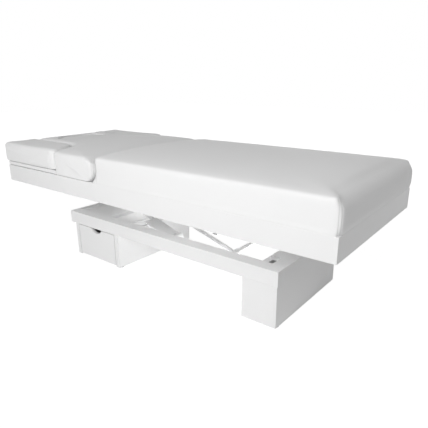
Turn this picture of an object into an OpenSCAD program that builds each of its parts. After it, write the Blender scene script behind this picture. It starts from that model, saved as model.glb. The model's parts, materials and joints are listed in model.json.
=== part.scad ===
// Spa bed on a cabinet base with a parallelogram lift and a tilting back section.
// Millimetres. Z is up, the floor is z = 0, X runs from the head end to the foot end,
// and the origin lies on the floor under the centre of the bed top.

/* [Bed top] */
// Length of the bed frame
top_l = 1950; // [1800:10:2100]
// Width of the bed frame
top_w = 770; // [720:10:850]
// Height of the frame's skirt boards
skirt_h = 88; // [84:1:110]
// Thickness of the skirt boards
skirt_t = 18; // [12:1:24]
// Clear height between the base tray and the skirt, at the lowest position
top_gap = 142; // [140:1:170]
// Length of the back section, from the head end of the pads to the seam
back_l = 795; // [760:5:850]

/* [Pads] */
// Overhang of the pads past the skirt at the head and foot
end_over = 10; // [4:1:20]
// Overhang of the pads past the skirt at each side
side_over = 7; // [3:1:14]
// Thickness of the main mattress at its edge
main_t = 122; // [95:1:135]
// Thickness of the back pad
back_t = 97; // [90:1:110]
// Width of each arm pad
arm_pad_w = 192; // [170:2:205]
// Length of each arm pad at the side
arm_pad_l = 485; // [440:5:520]
// Length of the rounded end of each arm pad
arm_round_l = 160; // [120:5:200]
// Gap between neighbouring pads of the back section
pad_gap = 2; // [1:0.5:4]
// Length of the face plug along the bed
plug_l = 200; // [150:5:220]
// Width of the face plug across the bed
plug_w = 310; // [220:5:320]
// Distance from the head end of the pads to the centre of the face plug
plug_x = 180; // [160:5:220]
// Radius of the main mattress's foot-end top edge
foot_edge_r = 42; // [25:1:50]
// Radius of the long top edges of the pads
side_edge_r = 15; // [8:1:20]
// Rise of the main mattress from edge to middle
main_crown = 24; // [5:1:35]
// Rise of the back pad from edge to middle
back_crown = 13; // [4:1:20]

/* [Base] */
// Height of the cabinet and of the foot pillar
cab_h = 178; // [160:2:230]
// Height of the tray rails
rail_h = 64; // [50:1:80]
// Width of the tray rails
rail_w = 60; // [45:1:60]
// Width of the base
base_w = 540; // [520:5:560]
// Head end of the tray, measured from the middle of the bed
tray_head = 591; // [570:5:620]
// Foot end of the tray, measured from the middle of the bed
tray_foot = 715; // [710:5:740]
// Head end of the cabinet, measured from the middle of the bed
cab_head = 551; // [540:1:560]
// Length of the cabinet along the bed
cab_l = 347; // [320:1:370]
// Length of the foot pillar along the bed
pillar_l = 159; // [140:1:180]
// Thickness of the cabinet and pillar boards
board_t = 18; // [14:1:20]
// Thickness of the cabinet's side boards
side_t = 25; // [18:1:30]

/* [Drawer] */
// Width of the grip notch in the drawer front
notch_w = 90; // [70:1:120]
// Depth of the grip notch
notch_d = 23; // [18:1:30]
// Depth of the drawer box
drawer_d = 450; // [400:10:470]
// Thickness of the drawer's sides and back
drawer_t = 12; // [9:1:15]

/* [Lift] */
// Length of the lift arms between pivots
arm_l = 420; // [400:5:430]
// Slope of the lift arms at the lowest position, in degrees
arm_a = 17; // [16:0.5:18]
// Foot pair's lower pivot, measured from the middle of the bed
foot_pivot = 430; // [420:5:450]
// Distance between the foot pair and the head pair of arms
arm_pitch = 330; // [320:5:340]
// Height of the lift arms' section
arm_h = 13; // [11:1:18]
// Width of the lift arms' section
arm_w = 10; // [8:1:16]
// Outer diameter of the torsion tubes
torsion_d = 24; // [22:1:28]
// Diameter of the lower pivot shafts
lower_shaft_d = 14; // [12:1:16]
// Diameter of the upper pivot shafts
upper_shaft_d = 16; // [14:1:18]
// Size of the square tube of the base frame
base_tube = 30; // [25:1:32]

/* [Actuators] */
// Outer diameter of the actuator tubes
act_tube_d = 34; // [30:1:36]
// Diameter of the actuator rods
act_rod_d = 18; // [14:1:20]
// Diameter of the actuators' eye pins
act_pin_d = 10; // [8:1:12]
// Radius of the lift crank
lift_crank_r = 85; // [80:1:90]
// Radius of the back crank
back_crank_r = 100; // [96:1:102]

/* [Hidden] */

// Facets of round pieces, and the overrun of every cut
$fn = 48;
cut = 1;
// Running clearance of shafts, clearance of the open pivots and play beside moving plates
run = 0.05;
open_run = 0.4;
play = 2;

// Wall of the square and flat steel tubes
tube_wall = 2;

// Glides under the cabinet and the pillar, set in from the corners
glide_t = 3;
glide_in = 24;

// Levels of the base, from the floor up
tray_z = cab_h;
tray_top = tray_z + rail_h;
skirt_z = tray_top + top_gap;
skirt_top = skirt_z + skirt_h;

// Cabinet and pillar along X
cab_x0 = -cab_head;
cab_x1 = cab_x0 + cab_l;
pillar_x1 = tray_foot - play;
pillar_x0 = pillar_x1 - pillar_l;
base_y = base_w/2;

// Tray
rail_in = base_y - rail_w;
head_board_t = 30;
head_wall_t = 8;
head_ledge_drop = 12;
foot_board_t = 18;
plate_t = 16;
head_plate_drop = 14;
head_plate_in = 20;
head_plate_l = 203;
foot_plate_l = 85;
cable_notch_l = 44;
cable_notch_w = 60;

// Base steel frame, which lies on the cabinet and on the pillar
base_rail_x0 = cab_x0 + cab_l/3;
base_rail_x1 = tray_foot - foot_board_t - play;
base_rail_y = rail_in - base_tube/2;
cross_head_x = cab_x1 - base_tube;
cross_foot_x = pillar_x0 + base_tube;

// Lower pivots
pivot_z = tray_z + 0.9*base_tube;
foot_px = foot_pivot;
head_px = foot_px - arm_pitch;
cross_motor_x = (head_px + foot_px)/2 - 3*base_tube;
bracket_t = 8;
bracket_r = 18;
bracket_y = base_rail_y - base_tube/2 - bracket_t/2;
torsion_l = 2*(bracket_y - bracket_t/2 - play);
lower_shaft_l = 2*(bracket_y + bracket_t/2);
arm_y = 140;
boss_t = 5;
boss_w = 25;
head_stub_in = arm_y - boss_w/2;
tie_at = 300;

// Upper pivots
arm_dx = arm_l*cos(arm_a);
arm_dz = arm_l*sin(arm_a);
upper_z = pivot_z + arm_dz;
foot_ux = foot_px - arm_dx;
head_ux = head_px - arm_dx;
upper_boss_r = 20;
hanger_t = 6;
hanger_w = 50;

// Wide plates on the head pair of arms, measured along the arm from the lower pivot
wide_l0 = 20;
wide_l1 = 175;
wide_t = 4;

// Carriage frame, with hangers at both sides of its rails
carriage_rail_w = 30;
hanger_y = carriage_rail_w/2 + hanger_t/2;
upper_shaft_l = 2*(arm_y + hanger_y + hanger_t/2);
carriage_rail_h = 30;
cross_h = 24;
deck_t = 18;
deck_z = skirt_top - deck_t;
cross_z = deck_z - cross_h;
carriage_rail_z = cross_z - carriage_rail_h;
carriage_cross_w = 25;
frame_end = top_l/2 - skirt_t;
frame_y = top_w/2 - skirt_t;
carriage_rail_l = 2*frame_end - 2*play;

// Pads: the seam, the head end and the foot end
pad_end = top_l/2 + end_over;
pad_y = top_w/2 + side_over;
seam_x = back_l - pad_end;
seam_gap = 0.8;
corner_r = 14;
foot_corner_r = 30;
pad_draw = 5;
pad_heel = 6;
crown_shares = [0.8, 0.55, 0.28];
crown_power = 2.8;
edge_angles = [0, 25, 50, 75];

// Back section: its board rests just above the skirt. Its nose slopes down from its top edge, and
// below that it is round about the hinge
lift_off = 3;
back_board_t = 18;
back_board_z = skirt_top + lift_off;
back_board_top = back_board_z + back_board_t;
back_top = back_board_top + back_t;
lip_gap = 0.3;
nose_clear = 0.8;
nose_r = (back_top - skirt_top - nose_clear)/2;
hinge_x = seam_x - seam_gap/2 - nose_r;
hinge_z = back_top - nose_r;
nose_lean = 0.5;
shoulder_r = 26;
board_in = 2;
board_neck_in = 40;
board_neck_l = 96;
board_past_hinge = 5;
back_board_y = top_w/2 - board_in;
board_neck_y = top_w/2 - board_neck_in;
back_board_x0 = board_in - top_l/2;
back_board_x1 = hinge_x + board_past_hinge;
rails_in_head = 40;
rails_from_hinge = 12;
backrest_tube_h = 20;
backrest_tube_w = 30;
backrest_tube_z = back_board_z - backrest_tube_h;
backrest_rail_y = board_neck_y + play - backrest_tube_w/2;
backrest_rail_x1 = hinge_x - rails_from_hinge;
backrest_rail_x0 = rails_in_head - top_l/2;

// Side hinges: an ear on the skirt and a plate on the backrest, both inside a slot of the pad
ear_t = 6;
ear_w = 36;
ear_foot_h = 65;
ear_packing = 5;
slot_clear = 3;
ear_y = frame_y - ear_packing - ear_t/2;
hinge_plate_y = backrest_rail_y + backrest_tube_w/2 + ear_t/2;
hinge_pin_d = 10;
slot_w = ear_y - hinge_plate_y + ear_t + 2*slot_clear;
slot_y = (ear_y + hinge_plate_y)/2;
slot_up = ear_w/2 + play;

// Arm pads
arm_base_t = 5;
arm_base_gap = 0.3;
arm_base_in = 14;
arm_pad_z = back_board_top + arm_base_gap + arm_base_t;
arm_x0 = -pad_end;
arm_x1 = arm_x0 + arm_pad_l;
arm_y_in = pad_y - arm_pad_w;
peg_d = 12;
peg_l = 26;
peg_head_x = 110;
peg_foot_x = 300;
peg_in = 45;
arm_corner_r = 34;

// Face plug: it sits on the rim of a smaller hole in the board
plug_cx = plug_x - pad_end;
plug_across = min(plug_w, 2*(arm_y_in - pad_gap) - 3*side_edge_r);
plug_gap = 3;
plug_rim = 16;
plug_lift = 0.4;

// Actuators: eyes, cheeks, gear case, tube and motor
act_eye_t = 20;
act_cheek_t = 6;
act_cheek_y = act_eye_t/2 + play + act_cheek_t/2;
act_tube_l = 120;
act_gear_l = 60;
act_gear_w = 50;
act_gear_h = 42;
act_motor_d = 40;
act_motor_l = 105;
act_rear = 24;
act_eye_r = 15;
act_rear_r = 12;

// Lift actuator: its pivot is on the base and its lug above the foot pair's lower pivot.
// Its rod eye is wide and set off from the lug's pin, so that it stays clear of the pin.
// It stands to the far side of the middle.
lift_side = 60;
lift_motor_x = cross_motor_x + base_tube/6;
lift_motor_z = tray_z + 1.5*base_tube + play;
lift_crank_a = 88;
lift_lug = [foot_px + lift_crank_r*cos(lift_crank_a), pivot_z + lift_crank_r*sin(lift_crank_a)];
lift_eye_off = [1.4, 2.3];
lift_eye = lift_lug + lift_eye_off;
lift_eye_hole = 8.2;
lift_dir = lift_eye - [lift_motor_x, lift_motor_z];
lift_act_a = atan2(lift_dir[1], lift_dir[0]);
lift_act_l = norm(lift_dir);

// Back actuator: its pivot is under the main deck and its lug under the backrest
back_crank_a = 20;
back_lug = [hinge_x + back_crank_r*sin(back_crank_a), hinge_z - back_crank_r*cos(back_crank_a)];
back_motor_x = hinge_x + 3*back_crank_r;
back_motor_z = hinge_z - 1.12*back_crank_r;
back_eye_off = [-2.8, -5.7];
back_eye = back_lug + back_eye_off;
back_eye_hole = 12;
back_eye_r = 17;
back_dir = back_eye - [back_motor_x, back_motor_z];
back_act_a = atan2(back_dir[1], back_dir[0]);
back_act_l = norm(back_dir);
back_bracket_l = 66;

// Cross tubes of the carriage and of the backrest
main_cross_x = back_motor_x + back_bracket_l + carriage_cross_w/2;
carriage_cross_xs = [-0.94*frame_end, hinge_x - 1.6*back_crank_r, main_cross_x,
                     (main_cross_x + frame_end)/2, 0.96*frame_end];
crank_tube_x = hinge_x - back_crank_r/2;
neck_tube_x = plug_cx + plug_l/2 + 2.4*backrest_tube_w;
backrest_cross_xs = [crank_tube_x, neck_tube_x, backrest_rail_x0 + backrest_tube_w/2];

// Drawer
front_gap = 3;
front_floor = 7;
front_t = 18;
drawer_gap = 12.5;
grip_room = 60;
drawer_x0 = cab_x0 + side_t + drawer_gap;
drawer_x1 = cab_x1 - side_t - drawer_gap;
drawer_z = glide_t + 2*board_t;
drawer_h = cab_h - board_t - drawer_z - notch_d - front_gap;
drawer_y0 = front_t - base_y;
runner_h = 40;
runner_gap = 0.3;
runner_t = (drawer_gap - runner_gap)/2;
bottom_t = 6;

// Control box and mains inlet
box_l = 90;
box_w = 220;
box_h = 27;
box_in = 12;
inlet_w = 28;
inlet_h = 22;
inlet_y = 120;
inlet_flange = 5;
inlet_flange_t = 3;
inlet_recess = 16;
inlet_wall = 3;
inlet_pin = 2;
inlet_pin_l = 10;

// Colours
white = "white";
laminate = "whitesmoke";
steel = "gainsboro";
grey = "silver";
leather = "ivory";
dark = "dimgray";

// A board or block between two corners
module block(a, b) {
    translate(a) cube(b - a);
}

// A tube between two corners, open at both ends, along the unit vector dir
module tube(a, b, dir) {
    w = tube_wall*([1, 1, 1] - dir) - cut*dir;
    difference() {
        block(a, b);
        block(a + w, b - w);
    }
}

// Two mirrored copies, one at each side of the bed
module both_sides() {
    children();
    mirror([0, 1, 0]) children();
}

// A round bar or hole along Y about the point [x, z]
module along_y(x, z, r, y0, y1) {
    translate([x, y1, z]) rotate([90, 0, 0]) cylinder(r = r, h = y1 - y0);
}

// A flat plate in the XZ plane, centred on y, drawn by its children as [x, z]
module plate_y(y, t) {
    translate([0, y + t/2, 0]) rotate([90, 0, 0]) linear_extrude(t) children();
}

// Outline with two round ends
module link2d(p, q, rp, rq) {
    d = q - p;
    t = atan2(d[1], d[0]);
    a = acos((rp - rq)/norm(d));
    up = [cos(t + a), sin(t + a)];
    down = [cos(t - a), sin(t - a)];
    translate(p) circle(r = rp);
    translate(q) circle(r = rq);
    polygon([p + rp*up, p + rp*down, q + rq*down, q + rq*up]);
}

// Bar outline between two points, straight sides only
module bar2d(p, q, h) {
    d = q - p;
    translate(p) rotate(atan2(d[1], d[0])) translate([0, -h/2]) square([norm(d), h]);
}

// Points of a quarter ellipse about c
function quarter(c, rx, ry, a0, n) =
    [for (i = [0:n]) c + [rx*cos(a0 + 90*i/n), ry*sin(a0 + 90*i/n)]];

// Points between p and q, both ends left out
function between(p, q, n) = [for (i = [1:n - 1]) p + (q - p)*i/n];

// Rounded rectangle, counter-clockwise, with corner radii at the head and at the foot
function pad_outline(x0, x1, y0, y1, r_head, r_foot, nx, ny) = concat(
    quarter([x1 - r_foot, y1 - r_foot], r_foot, r_foot, 0, 4),
    between([x1 - r_foot, y1], [x0 + r_head, y1], nx),
    quarter([x0 + r_head, y1 - r_head], r_head, r_head, 90, 3),
    between([x0, y1 - r_head], [x0, y0 + r_head], ny),
    quarter([x0 + r_head, y0 + r_head], r_head, r_head, 180, 3),
    between([x0 + r_head, y0], [x1 - r_foot, y0], nx),
    quarter([x1 - r_foot, y0 + r_foot], r_foot, r_foot, 270, 4),
    between([x1, y0 + r_foot], [x1, y1 - r_foot], ny));

// Unit normal of an outline at point i, pointing outwards
function out_normal(pts, i) =
    let (n = len(pts), d = pts[(i + 1) % n] - pts[(i + n - 1) % n])
    [d[1], -d[0]]/norm(d);

// How far a side has drawn in at height z: heel at the bottom, bulge, round top edge
function side_inset(z, z0, z1, r) =
    let (top = z - (z1 - r), up = (z - z0)/(z1 - z0))
    top > 0 ? r - sqrt(r*r - top*top)
    : pad_draw*pow(max(0, 1 - 2.2*up), 2);

// How far an end reaches at height z: a quarter round, or a full round under a slope if both
function end_reach(z, xc, zc, r, both) =
    let (round_end = sqrt(max(0, r*r - (z - zc)*(z - zc))))
    both ? xc + min(round_end, (zc + r - z)*nose_lean) : z < zc ? xc + r : xc + round_end;

// Heights of the rings round a top edge of radius r
function edge_levels(z1, r) = [for (a = edge_angles) z1 - r + r*sin(a)];

// One ring of a pad: the outline drawn in at its sides and squeezed into its round end
function pad_ring(pts, z, z0, z1, edge_r, xc, zc, end_r, both) = [
    for (i = [0:len(pts) - 1])
        let (p = pts[i] - out_normal(pts, i)*side_inset(z, z0, z1, edge_r),
             k = (end_reach(z, xc, zc, end_r, both) - xc)/end_r)
        [p[0] > xc ? xc + (p[0] - xc)*k : p[0], p[1], z]];

// Rings drawn towards a middle point and raised, which make the crown
function crown_ring(ring, c, s, rise) = [
    for (p = ring) [c[0] + (p[0] - c[0])*s, c[1] + (p[1] - c[1])*s,
                    p[2] + rise*(1 - pow(s, crown_power))]];

// A closed pad from its rings, with a flat bottom and a crowned top
module ringed_pad(rings, bottom, top) {
    n = len(rings[0]);
    m = len(rings);
    pts = concat([for (r = rings) for (p = r) p], [bottom, top]);
    walls = [for (k = [0:m - 2]) for (i = [0:n - 1])
        let (j = (i + 1) % n, a = k*n + i, b = k*n + j, c = a + n, d = b + n)
        each [[a, c, b], [b, c, d]]];
    caps = [for (i = [0:n - 1])
        let (j = (i + 1) % n)
        each [[m*n, i, j], [m*n + 1, (m - 1)*n + j, (m - 1)*n + i]]];
    polyhedron(pts, concat(walls, caps));
}

// A crowned pad whose foot end is round about [xc, zc]
module crowned_pad(pts, z0, z1, levels, edge_r, xc, zc, end_r, both, crown, mid) {
    sides = [for (z = levels) pad_ring(pts, z, z0, z1, edge_r, xc, zc, end_r, both)];
    last = sides[len(sides) - 1];
    tops = [for (s = crown_shares) crown_ring(last, mid, s, crown)];
    ringed_pad(concat(sides, tops), [mid[0], mid[1], z0], [mid[0], mid[1], last[0][2] + crown]);
}

// Base: glides, cabinet, pillar

module glides() {
    color(dark)
    for (s = [-1, 1]) {
        for (x = [cab_x0 + side_t/2, cab_x1 - side_t/2])
            translate([x, s*(base_y - glide_in), 0]) cylinder(d = side_t - play, h = glide_t);
        for (x = [pillar_x0 + board_t/2, pillar_x1 - board_t/2])
            translate([x, s*(base_y - glide_in), 0]) cylinder(d = board_t - play, h = glide_t);
    }
}

module cabinet_sides() {
    color(laminate)
    for (x = [cab_x0, cab_x1 - side_t])
        block([x, -base_y, glide_t], [x + side_t, base_y, cab_h]);
}

module cabinet_back() {
    color(laminate)
    block([cab_x0 + side_t, base_y - board_t, glide_t],
          [cab_x1 - side_t, base_y, cab_h - board_t]);
}

module cabinet_bottom() {
    color(laminate)
    block([cab_x0 + side_t, drawer_y0, glide_t + front_floor],
          [cab_x1 - side_t, base_y - board_t, glide_t + front_floor + board_t]);
}

// Top board, set back behind the drawer front so that a hand fits in the grip notch
module cabinet_top() {
    color(laminate)
    block([cab_x0 + side_t, drawer_y0 + grip_room, cab_h - board_t],
          [cab_x1 - side_t, base_y, cab_h]);
}

// Drawer slides: the outer rails are on the cabinet, the inner ones on the drawer
module runner_at(x0, x1, z_in) {
    z = drawer_z + drawer_h/2 - runner_h/2;
    block([x0, drawer_y0 + play, z + z_in], [x1, drawer_y0 + drawer_d, z + runner_h - z_in]);
}

module runner_rails() {
    color(steel) {
        runner_at(cab_x0 + side_t, cab_x0 + side_t + runner_t, 0);
        runner_at(cab_x1 - side_t - runner_t, cab_x1 - side_t, 0);
    }
}

module drawer_runners() {
    color(steel) {
        runner_at(drawer_x0 - runner_t, drawer_x0, runner_t);
        runner_at(drawer_x1, drawer_x1 + runner_t, runner_t);
    }
}

// Drawer front with its half-moon grip notch in the top edge
module drawer_front() {
    x0 = cab_x0 + side_t + front_gap;
    x1 = cab_x1 - side_t - front_gap;
    top = cab_h - front_gap;
    notch_r = (notch_w*notch_w/4 + notch_d*notch_d)/(2*notch_d);
    color(laminate)
    translate([0, -base_y, 0])
    difference() {
        block([x0, 0, glide_t + front_floor], [x1, front_t, top]);
        along_y((x0 + x1)/2, top - notch_d + notch_r, notch_r, -cut, front_t + cut);
    }
}

module drawer_sides() {
    color(white) {
        block([drawer_x0, drawer_y0, drawer_z],
              [drawer_x0 + drawer_t, drawer_y0 + drawer_d, drawer_z + drawer_h]);
        block([drawer_x1 - drawer_t, drawer_y0, drawer_z],
              [drawer_x1, drawer_y0 + drawer_d, drawer_z + drawer_h]);
    }
}

module drawer_back() {
    color(white)
    block([drawer_x0 + drawer_t, drawer_y0 + drawer_d - drawer_t, drawer_z],
          [drawer_x1 - drawer_t, drawer_y0 + drawer_d, drawer_z + drawer_h]);
}

module drawer_bottom() {
    color(white)
    block([drawer_x0 + drawer_t, drawer_y0, drawer_z],
          [drawer_x1 - drawer_t, drawer_y0 + drawer_d - drawer_t, drawer_z + bottom_t]);
}

module pillar_side_boards() {
    color(laminate)
    for (y = [-base_y, base_y - board_t])
        block([pillar_x0 + board_t, y, glide_t], [pillar_x1 - board_t, y + board_t, cab_h]);
}

module pillar_end_boards() {
    color(laminate)
    for (x = [pillar_x0, pillar_x1 - board_t])
        block([x, -base_y, glide_t], [x + board_t, base_y, cab_h]);
}

module pillar_top() {
    color(laminate)
    block([pillar_x0 + board_t, board_t - base_y, cab_h - board_t],
          [pillar_x1 - board_t, base_y - board_t, cab_h]);
}

// Tray on the cabinet and the pillar

module tray_side_rails() {
    color(laminate)
    for (y = [-base_y, rail_in])
        block([-tray_head, y, tray_z], [tray_foot, y + rail_w, tray_top]);
}

module tray_head_board() {
    hole_z = tray_z + rail_h/2;
    color(laminate)
    difference() {
        union() {
            block([-tray_head, -rail_in, tray_z],
                  [head_board_t - tray_head, rail_in, tray_top - head_ledge_drop]);
            block([-tray_head, -rail_in, tray_top - head_ledge_drop],
                  [head_wall_t - tray_head, rail_in, tray_top]);
        }
        translate([-tray_head - cut, inlet_y - inlet_w/2, hole_z - inlet_h/2])
            cube([head_board_t + 2*cut, inlet_w, inlet_h]);
    }
}

module tray_foot_board() {
    color(laminate)
    block([tray_foot - foot_board_t, -rail_in, tray_z], [tray_foot, rail_in, tray_top]);
}

// Plate behind the thin head wall, on the steel rails
module tray_head_plate() {
    x0 = head_board_t - tray_head;
    y = rail_in - head_plate_in;
    color(grey)
    block([x0, -y, tray_z + base_tube], [x0 + head_plate_l, y, tray_top - head_plate_drop]);
}

// Plate over the pillar, notched at the near side for the cables
module tray_foot_plate() {
    x1 = tray_foot - foot_board_t;
    color(grey)
    difference() {
        block([x1 - foot_plate_l, -rail_in, tray_top - plate_t], [x1, rail_in, tray_top]);
        translate([x1 - foot_plate_l - cut, -rail_in - cut, tray_top - plate_t - cut])
            cube([cable_notch_l + cut, cable_notch_w + cut, plate_t + 2*cut]);
    }
}

// Steel frame that carries the lift

module base_rails() {
    color(steel)
    for (s = [-1, 1])
        tube([base_rail_x0, s*base_rail_y - base_tube/2, tray_z],
             [base_rail_x1, s*base_rail_y + base_tube/2, tray_z + base_tube], [1, 0, 0]);
}

// Two whole tubes, and a short one from the far rail that carries the lift actuator
module base_cross_tubes() {
    y1 = base_rail_y - base_tube/2;
    stub_y = lift_side - act_cheek_y - act_cheek_t;
    color(steel)
    for (p = [[cross_head_x, -y1], [cross_motor_x, stub_y], [cross_foot_x, -y1]])
        tube([p[0] - base_tube/2, p[1], tray_z], [p[0] + base_tube/2, y1, tray_z + base_tube],
             [0, 1, 0]);
}

// Four ears on the base rails, bored for the lower shafts
module pivot_brackets() {
    color(steel)
    both_sides()
    for (x = [head_px, foot_px])
        difference() {
            union() {
                along_y(x, pivot_z, bracket_r, bracket_y - bracket_t/2, bracket_y + bracket_t/2);
                block([x - bracket_r, bracket_y - bracket_t/2, tray_z],
                      [x + bracket_r, bracket_y + bracket_t/2, pivot_z]);
            }
            along_y(x, pivot_z, lower_shaft_d/2 + run,
                    bracket_y - bracket_t/2 - cut, bracket_y + bracket_t/2 + cut);
        }
}

// One through shaft for the foot pair, and a short one at each side for the head pair
module lower_shafts() {
    color(grey) {
        along_y(foot_px, pivot_z, lower_shaft_d/2, -lower_shaft_l/2, lower_shaft_l/2);
        both_sides() along_y(head_px, pivot_z, lower_shaft_d/2, head_stub_in, lower_shaft_l/2);
    }
}

module control_box() {
    x0 = head_board_t - tray_head + box_in;
    color(dark)
    block([x0, -box_w/2, tray_z], [x0 + box_l, box_w/2, tray_z + box_h]);
}

// Flush mains inlet in the head board, with a hollow and two flat pins
module mains_inlet() {
    z = tray_z + rail_h/2;
    x = -tray_head;
    color(dark)
    difference() {
        union() {
            block([x - inlet_flange_t, inlet_y - inlet_w/2 - inlet_flange, z - inlet_h/2 - inlet_flange],
                  [x, inlet_y + inlet_w/2 + inlet_flange, z + inlet_h/2 + inlet_flange]);
            block([x, inlet_y - inlet_w/2, z - inlet_h/2],
                  [x + head_board_t, inlet_y + inlet_w/2, z + inlet_h/2]);
        }
        block([x - inlet_flange_t - cut, inlet_y - inlet_w/2 + inlet_wall, z - inlet_h/2 + inlet_wall],
              [x + inlet_recess, inlet_y + inlet_w/2 - inlet_wall, z + inlet_h/2 - inlet_wall]);
    }
    color(grey)
    for (s = [-1, 1])
        block([x + inlet_recess - inlet_pin_l, inlet_y + s*inlet_w/5 - inlet_pin/2, z - inlet_pin],
              [x + inlet_recess, inlet_y + s*inlet_w/5 + inlet_pin/2, z + inlet_pin]);
}

// Two cheeks on the short cross tube and the pin that holds the lift actuator
module lift_motor_bracket() {
    r = act_rear_r;
    top = tray_z + base_tube;
    translate([0, lift_side, 0]) {
        color(steel)
        both_sides()
        difference() {
            union() {
                along_y(lift_motor_x, lift_motor_z, r, act_cheek_y - act_cheek_t/2,
                        act_cheek_y + act_cheek_t/2);
                block([lift_motor_x - r, act_cheek_y - act_cheek_t/2, top],
                      [lift_motor_x + r, act_cheek_y + act_cheek_t/2, lift_motor_z]);
            }
            along_y(lift_motor_x, lift_motor_z, act_pin_d/2 + run,
                    act_cheek_y - act_cheek_t, act_cheek_y + act_cheek_t);
        }
        color(grey)
        along_y(lift_motor_x, lift_motor_z, act_pin_d/2,
                -act_cheek_y - act_cheek_t/2, act_cheek_y + act_cheek_t/2);
    }
}

// Lift arms

// A pair of bars with a bored boss at each end. The lower boss has a bore of radius lower_r
// and reaches out to lower_y.
module lift_arms(px, ux, lower_r, lower_y, upper_r) {
    p = [px, pivot_z];
    q = [ux, upper_z];
    y0 = arm_y - boss_w/2;
    y1 = arm_y + boss_w/2;
    both_sides()
    difference() {
        union() {
            plate_y(arm_y, arm_w) bar2d(p, q, arm_h);
            along_y(px, pivot_z, torsion_d/2 + boss_t, y0, lower_y);
            along_y(ux, upper_z, upper_boss_r, y0, y1);
        }
        along_y(px, pivot_z, lower_r, y0 - cut, lower_y + cut);
        along_y(ux, upper_z, upper_r, y0 - cut, y1 + cut);
    }
}

module foot_lift_arms() {
    color(steel)
    lift_arms(foot_px, foot_ux, torsion_d/2 + run, arm_y + boss_w/2, upper_shaft_d/2 + run);
}

module head_lift_arms() {
    color(steel)
    lift_arms(head_px, head_ux, lower_shaft_d/2 + run, torsion_l/2, upper_shaft_d/2 + open_run);
}

module foot_torsion_tube() {
    color(steel)
    difference() {
        along_y(foot_px, pivot_z, torsion_d/2, -torsion_l/2, torsion_l/2);
        along_y(foot_px, pivot_z, lower_shaft_d/2 + run, -torsion_l/2 - cut, torsion_l/2 + cut);
    }
}

// Tube that ties the head pair together, high up on the arms
module head_tie_tube() {
    x = head_px - tie_at*cos(arm_a);
    z = pivot_z + tie_at*sin(arm_a);
    y = arm_y - arm_w/2;
    color(steel)
    difference() {
        along_y(x, z, torsion_d/2, -y, y);
        along_y(x, z, torsion_d/2 - tube_wall, -y - cut, y + cut);
    }
}

// Wide plates on top of the head pair of arms, one at each side
module head_arm_plates() {
    y0 = head_stub_in;
    y1 = rail_in - 2*play;
    color(grey)
    both_sides()
    translate([head_px, 0, pivot_z])
    rotate([0, 180 + arm_a, 0])
    block([wide_l0, y0, -arm_h/2 - wide_t], [wide_l1, y1, -arm_h/2]);
}

// Two cheeks on the foot torsion tube and the pin that the lift actuator pushes
module lift_crank() {
    translate([0, lift_side, 0]) {
        color(steel)
        both_sides()
        difference() {
            plate_y(act_cheek_y, act_cheek_t)
                link2d([foot_px, pivot_z], lift_lug, torsion_d/2 + boss_t, act_pin_d + play);
            along_y(foot_px, pivot_z, torsion_d/2 + run, 0, 2*act_cheek_y);
            along_y(lift_lug[0], lift_lug[1], act_pin_d/2 + run, 0, 2*act_cheek_y);
        }
        color(grey)
        along_y(lift_lug[0], lift_lug[1], act_pin_d/2,
                -act_cheek_y - act_cheek_t/2, act_cheek_y + act_cheek_t/2);
    }
}

// Actuators, drawn along +X from their rear pin

// Housing: rear eye, gear case, tube and the motor beside it
module actuator_body() {
    difference() {
        union() {
            along_y(0, 0, act_rear_r, -act_eye_t/2, act_eye_t/2);
            block([0, -act_eye_t/2, -act_rear_r], [act_rear, act_eye_t/2, act_rear_r]);
            block([act_rear, -act_gear_w/2, -act_gear_h/2],
                  [act_rear + act_gear_l, act_gear_w/2 + act_motor_d, act_gear_h/2]);
            translate([act_rear + act_gear_l, 0, 0]) rotate([0, 90, 0])
                cylinder(d = act_tube_d, h = act_tube_l);
            translate([act_rear + act_gear_l, act_gear_w/2 + act_motor_d/2, 0]) rotate([0, 90, 0])
                cylinder(d = act_motor_d - play, h = act_motor_l);
        }
        along_y(0, 0, act_pin_d/2 + run, -act_eye_t, act_eye_t);
        translate([act_rear + act_gear_l/2, 0, 0]) rotate([0, 90, 0])
            cylinder(d = act_rod_d + 2*run, h = act_gear_l + act_tube_l);
    }
}

// Rod with its front eye, whose hole is wide because this pivot is left open
module actuator_rod(l, hole_r, eye_r) {
    difference() {
        union() {
            translate([act_rear + act_gear_l/2 + play, 0, 0]) rotate([0, 90, 0])
                cylinder(d = act_rod_d, h = l - act_rear - act_gear_l/2 - play);
            along_y(l, 0, eye_r, -act_eye_t/2, act_eye_t/2);
        }
        along_y(l, 0, hole_r, -act_eye_t, act_eye_t);
    }
}

module lift_motor() {
    color(grey)
    translate([lift_motor_x, lift_side, lift_motor_z]) rotate([0, -lift_act_a, 0]) actuator_body();
}

module lift_rod() {
    color(steel)
    translate([lift_motor_x, lift_side, lift_motor_z]) rotate([0, -lift_act_a, 0])
        actuator_rod(lift_act_l, lift_eye_hole, act_eye_r);
}

module back_motor() {
    color(grey)
    translate([back_motor_x, 0, back_motor_z]) rotate([0, -back_act_a, 0]) actuator_body();
}

module back_rod() {
    color(steel)
    translate([back_motor_x, 0, back_motor_z]) rotate([0, -back_act_a, 0])
        actuator_rod(back_act_l, back_eye_hole, back_eye_r);
}

// Carriage: skirt, steel frame, deck and main mattress

// One mitred skirt board of length l, lying along X with its outer face on y = 0
module skirt_board(l) {
    translate([0, 0, skirt_z])
    linear_extrude(skirt_h)
        polygon([[-l/2, 0], [l/2, 0], [l/2 - skirt_t, skirt_t], [skirt_t - l/2, skirt_t]]);
}

module skirt_sides() {
    color(laminate)
    both_sides() translate([0, -top_w/2, 0]) skirt_board(top_l);
}

module skirt_ends() {
    color(laminate)
    for (s = [0, 180])
        rotate([0, 0, s]) translate([top_l/2, 0, 0]) rotate([0, 0, 90]) skirt_board(top_w);
}

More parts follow.
